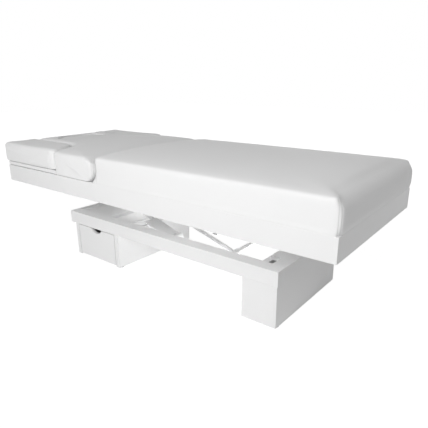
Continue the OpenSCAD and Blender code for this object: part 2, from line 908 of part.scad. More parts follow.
module carriage_rails() {
    color(steel)
    for (s = [-1, 1])
        tube([-carriage_rail_l/2, s*arm_y - carriage_rail_w/2, carriage_rail_z],
             [carriage_rail_l/2, s*arm_y + carriage_rail_w/2, cross_z], [1, 0, 0]);
}

module carriage_cross_tubes() {
    color(steel)
    for (x = carriage_cross_xs)
        tube([x - carriage_cross_w/2, -frame_y, cross_z],
             [x + carriage_cross_w/2, frame_y, deck_z], [0, 1, 0]);
}

// Hangers at both sides of each arm, welded to the carriage rails
module upper_brackets() {
    color(steel)
    both_sides()
    for (x = [head_ux, foot_ux])
        for (s = [-1, 1])
            difference() {
                y = arm_y + s*hanger_y;
                union() {
                    along_y(x, upper_z, upper_boss_r, y - hanger_t/2, y + hanger_t/2);
                    block([x - hanger_w/2, y - hanger_t/2, upper_z],
                          [x + hanger_w/2, y + hanger_t/2, cross_z]);
                }
                along_y(x, upper_z, upper_shaft_d/2 + run, y - hanger_t, y + hanger_t);
            }
}

module upper_shafts() {
    color(grey)
    for (x = [head_ux, foot_ux])
        along_y(x, upper_z, upper_shaft_d/2, -upper_shaft_l/2, upper_shaft_l/2);
}

module main_deck() {
    color(laminate)
    block([seam_x + seam_gap/2, -frame_y, deck_z], [frame_end, frame_y, skirt_top]);
}

module main_mattress() {
    z0 = skirt_top;
    z1 = z0 + main_t;
    r = foot_edge_r;
    x0 = seam_x + seam_gap/2;
    levels = concat([z0, z0 + pad_heel, z0 + 3*pad_heel, z1 - r, z1 - (r + side_edge_r)/2],
                    edge_levels(z1, side_edge_r));
    color(leather)
    crowned_pad(pad_outline(x0, pad_end, -pad_y, pad_y, corner_r, foot_corner_r, 8, 5),
                z0, z1, levels, side_edge_r, pad_end - r, z1 - r, r, false, main_crown,
                [(x0 + pad_end)/2, 0]);
}

// Ears on the skirt boards that carry the backrest's side pivots
module hinge_ears() {
    y0 = ear_y - ear_t/2;
    y1 = ear_y + ear_t/2;
    color(steel)
    both_sides()
    difference() {
        union() {
            along_y(hinge_x, hinge_z, ear_w/2, y0, y1);
            block([hinge_x - ear_w/2, y0, cross_z], [hinge_x + ear_w/2, y1, hinge_z]);
            block([hinge_x - ear_w, y1, deck_z - ear_foot_h], [hinge_x + ear_w, frame_y, deck_z]);
            block([hinge_x - ear_w, y0, deck_z - ear_foot_h], [hinge_x + ear_w, y1, deck_z]);
        }
        along_y(hinge_x, hinge_z, hinge_pin_d/2 + run, y0 - cut, y1 + cut);
    }
}

// Two cheeks ahead of a cross tube and the pin that holds the back actuator
module back_motor_bracket() {
    r = act_rear_r;
    color(steel)
    both_sides()
    difference() {
        union() {
            along_y(back_motor_x, back_motor_z, r, act_cheek_y - act_cheek_t/2,
                    act_cheek_y + act_cheek_t/2);
            block([back_motor_x, act_cheek_y - act_cheek_t/2, back_motor_z - r],
                  [back_motor_x + back_bracket_l, act_cheek_y + act_cheek_t/2, back_motor_z + r]);
            block([back_motor_x + back_bracket_l - act_cheek_t, act_cheek_y - act_cheek_t/2,
                   back_motor_z - r],
                  [back_motor_x + back_bracket_l, act_cheek_y + act_cheek_t/2, deck_z]);
        }
        along_y(back_motor_x, back_motor_z, act_pin_d/2 + run,
                act_cheek_y - act_cheek_t, act_cheek_y + act_cheek_t);
    }
    color(grey)
    along_y(back_motor_x, back_motor_z, act_pin_d/2,
            -act_cheek_y - act_cheek_t/2, act_cheek_y + act_cheek_t/2);
}

// Backrest: board, frame, hinge plates, crank and pads

// Oval of the face opening, made larger or smaller by d all round
module face_oval(d) {
    scale([1, (plug_across + 2*d)/(plug_l + 2*d)]) circle(d = plug_l + 2*d, $fn = 64);
}

// The board narrows at the hinges, where the plates and ears stand beside it
module backrest_board() {
    neck_x = back_board_x1 - board_neck_l;
    color(laminate)
    difference() {
        union() {
            block([back_board_x0, -back_board_y, back_board_z],
                  [neck_x, back_board_y, back_board_top]);
            block([neck_x, -board_neck_y, back_board_z],
                  [back_board_x1, board_neck_y, back_board_top]);
        }
        translate([plug_cx, 0, back_board_z - cut])
            linear_extrude(back_board_t + 2*cut) face_oval(-plug_rim);
        for (x = [peg_head_x, peg_foot_x])
            for (s = [-1, 1])
                translate([arm_x0 + x, s*(board_neck_y - peg_in), back_board_z - cut])
                    cylinder(d = peg_d + 4*run, h = back_board_t + 2*cut);
    }
}

module backrest_rails() {
    color(steel)
    for (s = [-1, 1])
        tube([backrest_rail_x0, s*backrest_rail_y - backrest_tube_w/2, backrest_tube_z],
             [backrest_rail_x1, s*backrest_rail_y + backrest_tube_w/2, back_board_z], [1, 0, 0]);
}

module backrest_cross_tubes() {
    y = backrest_rail_y - backrest_tube_w/2;
    color(steel)
    for (x = backrest_cross_xs)
        tube([x - backrest_tube_w/2, -y, backrest_tube_z],
             [x + backrest_tube_w/2, y, back_board_z], [0, 1, 0]);
}

// Plates on the backrest rails that rise to the side pivots inside the pad's slots
module hinge_plates() {
    y0 = hinge_plate_y - ear_t/2;
    y1 = hinge_plate_y + ear_t/2;
    color(steel)
    both_sides()
    difference() {
        union() {
            along_y(hinge_x, hinge_z, ear_w/2, y0, y1);
            plate_y(hinge_plate_y, ear_t)
                polygon([[hinge_x - ear_w/2, hinge_z], [hinge_x + ear_w/2, hinge_z],
                         [backrest_rail_x1, backrest_tube_z],
                         [backrest_rail_x1 - 2*ear_w, backrest_tube_z],
                         [backrest_rail_x1 - 2*ear_w, back_board_z],
                         [hinge_x - ear_w/2, back_board_top]]);
        }
        along_y(hinge_x, hinge_z, hinge_pin_d/2 + run, y0 - cut, y1 + cut);
    }
}

module hinge_pins() {
    color(grey)
    both_sides()
    along_y(hinge_x, hinge_z, hinge_pin_d/2, hinge_plate_y - ear_t/2, ear_y + ear_t/2);
}

// Two cheeks under the backrest and the pin that the back actuator pulls
module back_crank() {
    root = [crank_tube_x, backrest_tube_z - act_pin_d];
    color(steel)
    both_sides()
    difference() {
        plate_y(act_cheek_y, act_cheek_t)
        difference() {
            union() {
                link2d(root, back_lug, act_pin_d, act_pin_d + play);
                translate([crank_tube_x - backrest_tube_w/2, backrest_tube_z - act_pin_d])
                    square([backrest_tube_w/2 + act_pin_d/2, act_pin_d]);
            }
            translate([crank_tube_x - backrest_tube_w, backrest_tube_z])
                square([2*backrest_tube_w, backrest_tube_h]);
        }
        along_y(back_lug[0], back_lug[1], act_pin_d/2 + run, 0, 2*act_cheek_y);
    }
    color(grey)
    along_y(back_lug[0], back_lug[1], act_pin_d/2,
            -act_cheek_y - act_cheek_t/2, act_cheek_y + act_cheek_t/2);
}

// Half outline of the back pad: wide shoulders, hollow flanks and a narrow neck
function back_half() =
    let (xs = hinge_x + nose_r, y = pad_y, yn = arm_y_in - pad_gap, xh = arm_x0,
         c = [arm_x1 - arm_round_l, pad_y],
         rx = arm_round_l + pad_gap, ry = pad_y - yn)
    concat([[xs, 0]],
           between([xs, 0], [xs, y - shoulder_r], 3),
           quarter([xs - shoulder_r, y - shoulder_r], shoulder_r, shoulder_r, 0, 3),
           between([xs - shoulder_r, y], [c[0] + rx, y], 5),
           [for (i = [0:8]) c + [rx*cos(90*i/8), -ry*sin(90*i/8)]],
           between([c[0], yn], [xh + corner_r, yn], 6),
           quarter([xh + corner_r, yn - corner_r], corner_r, corner_r, 90, 3),
           between([xh, yn - corner_r], [xh, 0], 3),
           [[xh, 0]]);

function back_outline() =
    let (h = back_half(), n = len(h))
    concat(h, [for (i = [n - 2:-1:1]) [h[i][0], -h[i][1]]]);

// The cover reaches down over the board's edges, almost to the skirt
module back_pad() {
    z0 = back_board_z + lip_gap;
    z1 = back_top;
    levels = concat([z0, z0 + pad_heel, back_board_top, (back_board_top + hinge_z)/2, hinge_z,
                     (hinge_z + z1 - side_edge_r)/2],
                    edge_levels(z1, side_edge_r));
    color(leather)
    difference() {
        crowned_pad(back_outline(), z0, z1, levels, side_edge_r, hinge_x, hinge_z, nose_r,
                    true, back_crown, [(hinge_x + seam_x)/2 - pad_y/2, 0]);
        translate([plug_cx, 0, z0 - cut])
            linear_extrude(z1 - z0 + back_crown + 2*cut) face_oval(plug_gap);
        block([back_board_x0 - lip_gap, -back_board_y - lip_gap, z0 - cut],
              [back_board_x1 + lip_gap, back_board_y + lip_gap, back_board_top]);
        both_sides()
        block([hinge_x - slot_up, slot_y - slot_w/2, z0 - cut],
              [hinge_x + nose_r + cut, slot_y + slot_w/2, hinge_z + slot_up]);
    }
}

// Arm pads, which lift off their pegs

// Outline of the near arm pad, drawn in by d, with its foot end rounded inwards
function arm_outline(d) =
    let (c = [arm_x1 - arm_round_l, -pad_y + d], r = arm_corner_r,
         rx = arm_round_l - d, ry = arm_pad_w - 2*d, a = asin(r/ry),
         corner = c + [rx*cos(a) - r, r])
    concat([for (i = [0:9]) c + [rx*cos(a + (90 - a)*i/9), ry*sin(a + (90 - a)*i/9)]],
           between([c[0], c[1] + ry], [arm_x0 + d + corner_r, c[1] + ry], 5),
           quarter([arm_x0 + d + corner_r, c[1] + ry - corner_r], corner_r, corner_r, 90, 3),
           between([arm_x0 + d, c[1] + ry - corner_r], [arm_x0 + d, c[1] + corner_r], 3),
           quarter([arm_x0 + d + corner_r, c[1] + corner_r], corner_r, corner_r, 180, 3),
           between([arm_x0 + d + corner_r, c[1]], [corner[0], c[1]], 7),
           [for (i = [0:3]) corner + r*[sin(22.5*i), -cos(22.5*i)]]);

module arm_base() {
    z = back_board_top + arm_base_gap;
    color(grey) {
        translate([0, 0, z]) linear_extrude(arm_base_t) polygon(arm_outline(arm_base_in));
        for (x = [peg_head_x, peg_foot_x])
            translate([arm_x0 + x, peg_in - board_neck_y, z - peg_l])
                cylinder(d = peg_d, h = peg_l);
    }
}

module arm_pad() {
    z0 = arm_pad_z;
    z1 = back_top;
    levels = concat([z0, z0 + pad_heel, z0 + 3*pad_heel, (z0 + z1)/2],
                    edge_levels(z1, side_edge_r));
    color(leather)
    crowned_pad(arm_outline(0), z0, z1, levels, side_edge_r, arm_x1 - side_edge_r,
                z1 - side_edge_r, side_edge_r, false, back_crown,
                [(arm_x0 + arm_x1)/2 - arm_round_l/4, arm_pad_w/2 - pad_y]);
}

module arm_base_near() {
    arm_base();
}

module arm_pad_near() {
    arm_pad();
}

module arm_base_far() {
    mirror([0, 1, 0]) arm_base();
}

module arm_pad_far() {
    mirror([0, 1, 0]) arm_pad();
}

// Oval plug that fills the face opening
module face_plug() {
    z0 = back_board_top + plug_lift;
    z1 = back_top;
    pts = [for (i = [0:39]) [plug_cx + plug_l/2*cos(9*i), plug_across/2*sin(9*i)]];
    levels = concat([z0, z0 + pad_heel, (z0 + z1)/2], edge_levels(z1, side_edge_r));
    color(leather)
    crowned_pad(pts, z0, z1, levels, side_edge_r, plug_cx + plug_l/2 - side_edge_r,
                z1 - side_edge_r, side_edge_r, false, back_crown, [plug_cx, 0]);
}

glides();
cabinet_sides();
cabinet_back();
cabinet_bottom();
cabinet_top();
runner_rails();
pillar_side_boards();
pillar_end_boards();
pillar_top();
tray_side_rails();
tray_head_board();
tray_foot_board();
tray_head_plate();
tray_foot_plate();
base_rails();
base_cross_tubes();
pivot_brackets();
lower_shafts();
control_box();
mains_inlet();
lift_motor_bracket();
drawer_front();
drawer_sides();
drawer_back();
drawer_bottom();
drawer_runners();
foot_lift_arms();
foot_torsion_tube();
lift_crank();
head_lift_arms();
head_tie_tube();
head_arm_plates();
lift_motor();
lift_rod();
back_motor();
back_rod();
skirt_sides();
skirt_ends();
carriage_rails();
carriage_cross_tubes();
upper_brackets();
upper_shafts();
main_deck();
main_mattress();
hinge_ears();
back_motor_bracket();
backrest_board();
backrest_rails();
backrest_cross_tubes();
hinge_plates();
hinge_pins();
back_crank();
back_pad();
arm_base_near();
arm_pad_near();
arm_base_far();
arm_pad_far();
face_plug();
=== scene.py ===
# %% [markdown]
# # A white treatment bed, dressed in Blender
# The real object is a salon bed: a padded top in a laminated frame, on an electric lift that stands in
# a long tray over a drawer cabinet and a narrow pillar. Its working solids come from the CAD model, so
# the first step only loads them. They could be modelled again here, but then boards and joints would
# drift from the ones that move. Blender adds what the solids don't have: soft pads, finishes and light.

# %% Load the working solids
import json
import math

import bmesh
import bpy
import numpy as np
from mathutils import Matrix, Vector
from mathutils.bvhtree import BVHTree

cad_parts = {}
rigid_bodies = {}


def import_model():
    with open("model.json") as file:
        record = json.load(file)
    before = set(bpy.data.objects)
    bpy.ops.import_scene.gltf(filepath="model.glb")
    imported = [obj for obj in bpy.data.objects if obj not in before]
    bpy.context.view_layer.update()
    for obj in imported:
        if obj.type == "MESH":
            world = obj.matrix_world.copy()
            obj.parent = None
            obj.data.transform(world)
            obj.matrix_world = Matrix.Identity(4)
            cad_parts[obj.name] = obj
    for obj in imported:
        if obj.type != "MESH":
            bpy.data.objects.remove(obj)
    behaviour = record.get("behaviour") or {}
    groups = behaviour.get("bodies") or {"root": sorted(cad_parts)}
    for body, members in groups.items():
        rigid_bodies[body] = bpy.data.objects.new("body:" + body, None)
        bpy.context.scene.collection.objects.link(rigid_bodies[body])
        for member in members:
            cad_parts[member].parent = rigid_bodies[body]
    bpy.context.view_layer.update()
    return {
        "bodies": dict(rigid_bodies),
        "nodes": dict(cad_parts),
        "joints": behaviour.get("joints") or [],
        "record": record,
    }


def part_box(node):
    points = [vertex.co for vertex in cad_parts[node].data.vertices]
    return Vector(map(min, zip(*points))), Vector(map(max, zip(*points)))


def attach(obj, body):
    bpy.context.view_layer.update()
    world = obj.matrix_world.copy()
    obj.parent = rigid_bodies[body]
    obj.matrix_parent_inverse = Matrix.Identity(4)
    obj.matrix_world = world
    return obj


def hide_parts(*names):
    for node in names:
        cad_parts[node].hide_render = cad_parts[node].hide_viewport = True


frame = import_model()
nodes = frame["nodes"]

# %% [markdown]
# ## The camera
# The photograph was taken from the foot end's near corner, a little above the pads. A camera can be
# placed by eye, or solved from points whose true places are known. Here it is placed at numbers solved
# from the corners of the frame, tray and cabinet and the long edges of the pads.

# %% Place the camera
CAMERA_AT = (1.4095, -1.5261, 0.9155)
CAMERA_TURN, CAMERA_DOWN, CAMERA_LEAN = 38.356, 17.47, -0.395
FOCAL_PIXELS, PHOTO_PIXELS = 422.3, 428

scene = bpy.context.scene
scene.view_settings.view_transform = "Standard"
lens = bpy.data.cameras.new("photo_camera")
lens.sensor_width = 36.0
lens.lens = FOCAL_PIXELS / PHOTO_PIXELS * lens.sensor_width
lens.clip_start, lens.clip_end = 0.05, 60
camera = bpy.data.objects.new("photo_camera", lens)
camera.location = CAMERA_AT
turned = [Matrix.Rotation(math.radians(angle), 3, axis) for angle, axis in
          ((CAMERA_TURN, "Z"), (90 - CAMERA_DOWN, "X"), (CAMERA_LEAN, "Z"))]
camera.rotation_euler = (turned[0] @ turned[1] @ turned[2]).to_euler()
scene.collection.objects.link(camera)
scene.camera = camera
print("lens:", round(lens.lens, 2), "mm")

# %% [markdown]
# ## Shader maths as plain sums
# A procedural finish is a small formula, but dozens of linked nodes hide it. Nodes can be joined by
# hand in the editor, or a wrapped socket can overload + - * so that the formula is written as it is
# thought. The second way is used, with one method for every node that isn't plain arithmetic.

# %% Wrap a socket so that shader maths reads like a sum


class Wire:
    """An output socket of a material's tree. Sums and products of wires add Math nodes."""

    def __init__(self, tree, socket):
        self.tree, self.socket = tree, socket

    def node(self, kind, settings=None, sockets=None, out=0):
        """Adds a node of that type: settings and ramp stops first, then values or links of its sockets."""
        made = self.tree.nodes.new(kind)
        for name, value in (settings or {}).items():
            if name == "stops":
                ramp = made.color_ramp.elements
                while len(ramp) < len(value):
                    ramp.new(0.5)
                for stop, (place, shade) in zip(ramp, value):
                    stop.position, stop.color = place, (*shade, 1)
            else:
                setattr(made, name, value)
        for name, value in (sockets or {}).items():
            if isinstance(value, Wire):
                self.tree.links.new(value.socket, made.inputs[name])
            else:
                made.inputs[name].default_value = value
        return Wire(self.tree, made.outputs[out])

    def maths(self, operation, a, b=0.0):
        return self.node("ShaderNodeMath", {"operation": operation}, {0: a, 1: b})

    def __add__(self, other):
        return self.maths("ADD", self, other)

    __radd__ = __add__

    def __sub__(self, other):
        return self.maths("SUBTRACT", self, other)

    def __rsub__(self, other):
        return self.maths("SUBTRACT", other, self)

    def __mul__(self, other):
        return self.maths("MULTIPLY", self, other)

    __rmul__ = __mul__

    def __truediv__(self, other):
        return self.maths("DIVIDE", self, other)

    def above(self, level, soft):
        """0 below the level and 1 above it, with a soft step of that width between."""
        return self.node(
            "ShaderNodeMapRange",
            {"interpolation_type": "SMOOTHSTEP"},
            {"Value": self, "From Min": level - soft / 2, "From Max": level + soft / 2},
        )

    def noise(self, scale, detail=2.0, rough=0.5):
        """Noise between 0 and 1 at that many lumps per metre; the wire is the place it is read at."""
        sockets = {"Vector": self, "Scale": scale, "Detail": detail, "Roughness": rough}
        return self.node("ShaderNodeTexNoise", None, sockets)

    def stretched(self, x, y, z):
        """The place with each axis multiplied, so that a pattern on it is drawn out or packed."""
        return self.node("ShaderNodeMapping", None, {"Vector": self, "Scale": (x, y, z)})

    def tint(self, first, second):
        """A mix of two colours, where the wire is 0 the first and where it is 1 the second."""
        colours = {6 + i: c if isinstance(c, Wire) else (*c, 1) for i, c in enumerate((first, second))}
        return self.node("ShaderNodeMix", {"data_type": "RGBA"}, {0: self, **colours}, out=2)

    def bump(self, height, strength=1.0, under=None):
        """A surface normal from a height in metres."""
        sockets = {"Height": height, "Distance": 1.0, "Strength": strength}
        if under is not None:
            sockets["Normal"] = under
        return self.node("ShaderNodeBump", None, sockets)


def finish_of(name, **fixed):
    """A new material with its Principled shader's fixed sockets set, and a wire of Object coordinates."""
    made = bpy.data.materials.new(name)
    made.use_nodes = True
    tree = made.node_tree
    shader = tree.nodes["Principled BSDF"]
    for socket, value in fixed.items():
        shader.inputs[socket.replace("_", " ")].default_value = value
    place = Wire(tree, tree.nodes.new("ShaderNodeTexCoord").outputs["Object"])
    return made, place


def feed(material, **wires):
    """Links wires to the sockets of the material's Principled shader: Base_Color, Roughness, Normal."""
    shader = material.node_tree.nodes["Principled BSDF"]
    for socket, wire in wires.items():
        material.node_tree.links.new(wire.socket, shader.inputs[socket.replace("_", " ")])
    return material


# %% [markdown]
# ## Floor, backdrop and light
# The photograph is a studio cut-out: pure white all round, broad soft light from the near side, and a
# darker foot end. A white page could come from very bright lamps, but they would bleach the white bed.
# So the page is white only to the camera, to reflections and through glass, and the lamps stay low.

# %% Make a page that is white to the camera and keeps the shadow
PAGE_SHARE, PAGE_GLOW, PAGE_NEAR = 0.88, 1.09, 2.6


def seen_directly(place):
    """1 for rays from the camera, a mirror or glass, else 0, from the Light Path node."""
    paths = [place.node("ShaderNodeLightPath", None, None, out=name) for name in
             ("Is Camera Ray", "Is Glossy Ray", "Is Transmission Ray")]
    return place.maths("MINIMUM", paths[0] + paths[1] + paths[2], 1.0)


floor_mesh = bpy.data.meshes.new("studio_floor")
floor_mesh.from_pydata([(-12, -12, 0), (12, -12, 0), (12, 12, 0), (-12, 12, 0)], [], [(0, 1, 2, 3)])
studio_floor = bpy.data.objects.new("studio_floor", floor_mesh)
scene.collection.objects.link(studio_floor)

page, place = finish_of("studio_page", Base_Color=(0.9, 0.9, 0.9, 1), Roughness=0.9)
glow = place.node("ShaderNodeEmission", None, {"Color": (1, 1, 1, 1), "Strength": PAGE_GLOW})
plain = Wire(page.node_tree, page.node_tree.nodes["Principled BSDF"].outputs[0])
distance = place.node("ShaderNodeVectorMath", {"operation": "LENGTH"}, {0: place}, out="Value")
share = distance.above(PAGE_NEAR, 2.0) * (1 - PAGE_SHARE) + PAGE_SHARE
mixed = place.node("ShaderNodeMixShader", None, {0: seen_directly(place) * share, 1: plain, 2: glow})
output = page.node_tree.nodes["Material Output"]
page.node_tree.links.new(mixed.socket, output.inputs["Surface"])
floor_mesh.materials.append(page)

# %% Light the bed as the photograph does
ROOM_LIGHT = 0.12

world = bpy.data.worlds.new("studio")
scene.world = world
world.use_nodes = True
air = Wire(world.node_tree, world.node_tree.nodes["Background"].outputs[0])
strength = seen_directly(air) * (1 - ROOM_LIGHT) + ROOM_LIGHT
world.node_tree.nodes["Background"].inputs["Color"].default_value = (1, 1, 1, 1)
world.node_tree.links.new(strength.socket, world.node_tree.nodes["Background"].inputs["Strength"])


def softbox(name, at, aim, size, watts):
    """A square area lamp at one point, turned towards another, unseen by the camera. Those on the far
    side make no gloss, as if a polarising sheet hung before them, or they would glare off the pads."""
    lamp = bpy.data.lights.new(name, "AREA")
    lamp.shape, lamp.size, lamp.energy = "SQUARE", size, watts
    holder = bpy.data.objects.new(name, lamp)
    holder.location = at
    way = np.array(aim, float) - np.array(at, float)
    turn = math.atan2(way[1], way[0]) - math.pi / 2
    holder.rotation_euler = (math.pi / 2 + math.atan2(way[2], math.hypot(*way[:2])), 0, turn)
    holder.visible_camera = False
    holder.visible_glossy = at[1] < 0
    scene.collection.objects.link(holder)


# Each lamp's place, the point it is turned towards, its side in metres and its power in watts. The last
# two are small ones under the bed, since the photograph shows those shaded faces nearly white.
LAMPS = {"key": ((0.5, -3.0, 1.9), (0, 0, 0.4), 1.4, 58),
         "high": ((1.3, -2.6, 3.0), (0.2, 0, 0.5), 1.8, 25),
         "far_fill": ((-0.6, 2.6, 0.7), (-0.2, 0, 0.2), 1.0, 32),
         "foot_fill": ((3.2, 0.4, 2.4), (0.6, 0, 0.5), 1.4, 12),
         "floor_bounce": ((0.50, -0.03, 0.08), (-0.2, 0, 0.11), 0.2, 1.6),
         "tray_fill": ((-0.29, 0.0, 0.315), (-0.29, 0.0, 0.2), 0.16, 0.12)}
for name, (at, aim, size, watts) in LAMPS.items():
    softbox(name, at, aim, size, watts)

# %% [markdown]
# ## Finishes of the boards and metal
# Boards are wood chips under a white laminate, and the metal is powder-coated steel. One flat white
# would read as plaster, so each finish gets what its maker leaves: a fine pebble in the laminate, the
# orange-peel ripple of powder coat, faint long brush lines on bright steel, and soft shading of tone.

# %% Laminate, powder coat, steel and plastic


def laminate(name, shade):
    """White melamine board: shade drifts over half a metre, with a pebble of a few microns."""
    made, place = finish_of(name, Specular_IOR_Level=0.45)
    drift = place.noise(2.2, 2.0)
    pebble = place.noise(900, 2.0)
    colour = drift.tint([s * 0.975 for s in shade], shade)
    rough = place.noise(14, 3.0) * 0.08 + 0.36
    return feed(made, Base_Color=colour, Roughness=rough, Normal=place.bump(pebble * 0.00004))


def powder_coat(name, shade):
    """Powder-coated steel: a ripple about 2 mm across, and a slightly duller film in patches."""
    made, place = finish_of(name, Specular_IOR_Level=0.5)
    peel = place.noise(420, 1.0)
    colour = place.noise(9, 2.0).tint([s * 0.96 for s in shade], shade)
    rough = place.noise(30, 2.0) * 0.1 + 0.3
    return feed(made, Base_Color=colour, Roughness=rough, Normal=place.bump(peel * 0.00007))


def brushed(name, shade, along):
    """Ground steel: noise drawn out along one axis makes fine brush lines in gloss and height."""
    made, place = finish_of(name, Metallic=1.0)
    scales = [40.0 if i == along else 1400.0 for i in range(3)]
    lines = place.stretched(*scales).noise(1.0, 2.0)
    colour = lines.tint([s * 0.9 for s in shade], shade)
    return feed(made, Base_Color=colour, Roughness=lines * 0.16 + 0.22, Normal=place.bump(lines * 0.00001))


def moulded(name, shade, rough=0.5):
    """Moulded plastic with a fine spark-eroded texture."""
    made, place = finish_of(name, Specular_IOR_Level=0.45)
    grit = place.noise(1500, 2.0)
    colour = place.noise(12, 2.0).tint([s * 0.92 for s in shade], shade)
    return feed(made, Base_Color=colour, Roughness=place.noise(60, 2.0) * 0.1 + rough,
                Normal=place.bump(grit * 0.00003))


WHITE = (0.86, 0.86, 0.86)
BOARD_NODES = [n for n in nodes if n.split("_")[0] in ("cabinet", "drawer", "pillar", "tray", "skirt")
               and n != "drawer_runners"] + ["main_deck", "backrest_board"]
SOFT_NODES = ["main_mattress", "back_pad", "arm_pad_near", "arm_pad_far", "face_plug"]
board = laminate("white_laminate", WHITE)
coat = powder_coat("white_powder_coat", (0.84, 0.84, 0.84))
bright = brushed("bright_steel", (0.62, 0.63, 0.64), 1)
plastic = moulded("actuator_plastic", (0.55, 0.56, 0.57))
rubber = moulded("glide_rubber", (0.06, 0.06, 0.06), 0.6)


def dress(names, material):
    for name in names:
        nodes[name].data.materials.clear()
        nodes[name].data.materials.append(material)


dress(nodes, coat)
dress(BOARD_NODES, board)
dress(["runner_rails", "drawer_runners", "lower_shafts", "upper_shafts", "lift_rod", "back_rod",
       "hinge_pins"], bright)
dress(["lift_motor", "back_motor", "control_box", "mains_inlet", "arm_base_near", "arm_base_far"], plastic)
dress(["glides"], rubber)
print("boards:", len(BOARD_NODES))

# %% [markdown]
# ## The shape of a pad
# Each real pad is foam on a board under a stretched cover: flat below, drawn in where the cover is
# stapled, round along its top edge and highest in the middle. It could be sculpted, or be a box with
# bevels. A grid is used: one way runs round the outline, the other up the side and in to the middle.

# %% Outlines of the pads
# SEAM_X is the mattress's head wall and PAD_END half the length over the pads. NOSE_R is the radius of the
# back pad's round end about the hinge, and the rings are those of a shell's wall, edge and top.
SEAM_X, PAD_END, PAD_Y = -0.190, 0.985, 0.392
BOARD_TOP, PAD_TOP, SKIRT_TOP, MAIN_TOP = 0.493, 0.590, 0.472, 0.594
HINGE_X, HINGE_Z, NOSE_R, SHOULDER_R = -0.2490, 0.5314, 0.0586, 0.026
NOSE_START, NOSE_EASE, NOSE_LEAN = -0.262, 0.008, 2.2
ARM_LOW, ARM_L, ARM_W, ARM_ROUND, ARM_GAP = 0.4983, 0.485, 0.192, 0.160, 0.004
ARM_ROUND_END = ARM_L - PAD_END + 0.01
PLUG_X, PLUG_L, PLUG_W = -0.805, 0.200, 0.310
LIP_LOW, SLOT, EAR_ROOM = 0.4756, (0.344, 0.365), 0.0195
SIDE_ROLL, FOOT_ROLL_MORE, SIDE_HEEL, FOOT_HEEL_MORE = 0.014, 0.042, 0.001, 0.015
MAIN_CROWN, BACK_CROWN, LOW_CROWN, LEAN, RISE = 0.022, 0.014, 0.009, 0.027, 0.011
WALL_RINGS, EDGE_RINGS, TOP_RINGS = 8, 9, 25


def arc(centre, rx, ry, start, stop, count=24):
    """Points of an ellipse arc in degrees: centre + (rx cos a, ry sin a)."""
    a = np.radians(np.linspace(start, stop, count))
    return np.stack([centre[0] + rx * np.cos(a), centre[1] + ry * np.sin(a)], 1)


def evenly(points, step):
    """A closed outline walked in equal steps: each point is interpolated at a multiple of the step."""
    closed = np.vstack([points, points[:1]])
    walk = np.concatenate([[0], np.cumsum(np.linalg.norm(np.diff(closed, axis=0), axis=1))])
    places = np.linspace(0, walk[-1], max(24, int(walk[-1] / step)), endpoint=False)
    return np.stack([np.interp(places, walk, closed[:, i]) for i in (0, 1)], 1)


def rounded_box(x0, x1, y0, y1, r_head, r_foot):
    """A rectangle with two corner radii, counter-clockwise from the foot's far corner."""
    return np.vstack([arc((x1 - r_foot, y1 - r_foot), r_foot, r_foot, 0, 90),
                      arc((x0 + r_head, y1 - r_head), r_head, r_head, 90, 180),
                      arc((x0 + r_head, y0 + r_head), r_head, r_head, 180, 270),
                      arc((x1 - r_foot, y0 + r_foot), r_foot, r_foot, 270, 360)])


def back_outline():
    """The T of the back pad: shoulders at the seam, two quarter ellipses for the arm pads, a neck."""
    neck = PAD_Y - ARM_W - 0.002
    turn = (-PAD_END + ARM_L - ARM_ROUND, PAD_Y)
    x = HINGE_X + NOSE_R
    far = np.vstack([arc((x - SHOULDER_R, PAD_Y - SHOULDER_R), SHOULDER_R, SHOULDER_R, 0, 90, 12),
                     arc(turn, ARM_ROUND + 0.002, PAD_Y - neck, 0, -90, 40),
                     arc((-PAD_END + 0.014, neck - 0.014), 0.014, 0.014, 90, 180, 9)])
    return np.vstack([far, far[::-1] * [1, -1]])


def arm_outline():
    """The near arm pad: square at the head, a soft corner at the side, a quarter ellipse inwards that
    is drawn back from the T by the gap."""
    turn = (-PAD_END + ARM_L - ARM_ROUND, -PAD_Y)
    long, wide = ARM_ROUND - ARM_GAP / 2, ARM_W - ARM_GAP / 2
    start = math.degrees(math.asin(0.034 / wide))
    corner = turn[0] + long * math.cos(math.radians(start)) - 0.034
    return np.vstack([arc(turn, long, wide, start, 90, 40),
                      arc((-PAD_END + 0.010, wide - PAD_Y - 0.010), 0.010, 0.010, 90, 180, 9),
                      arc((-PAD_END + 0.010, 0.010 - PAD_Y), 0.010, 0.010, 180, 270, 9),
                      arc((corner, 0.034 - PAD_Y), 0.034, 0.034, 270, 360, 16)])


def oval(more):
    """The face plug's ellipse, larger all round by that much."""
    return arc((PLUG_X, 0), PLUG_L / 2 + more, PLUG_W / 2 + more, 0, 357, 120)


# %% A crowned shell over an outline


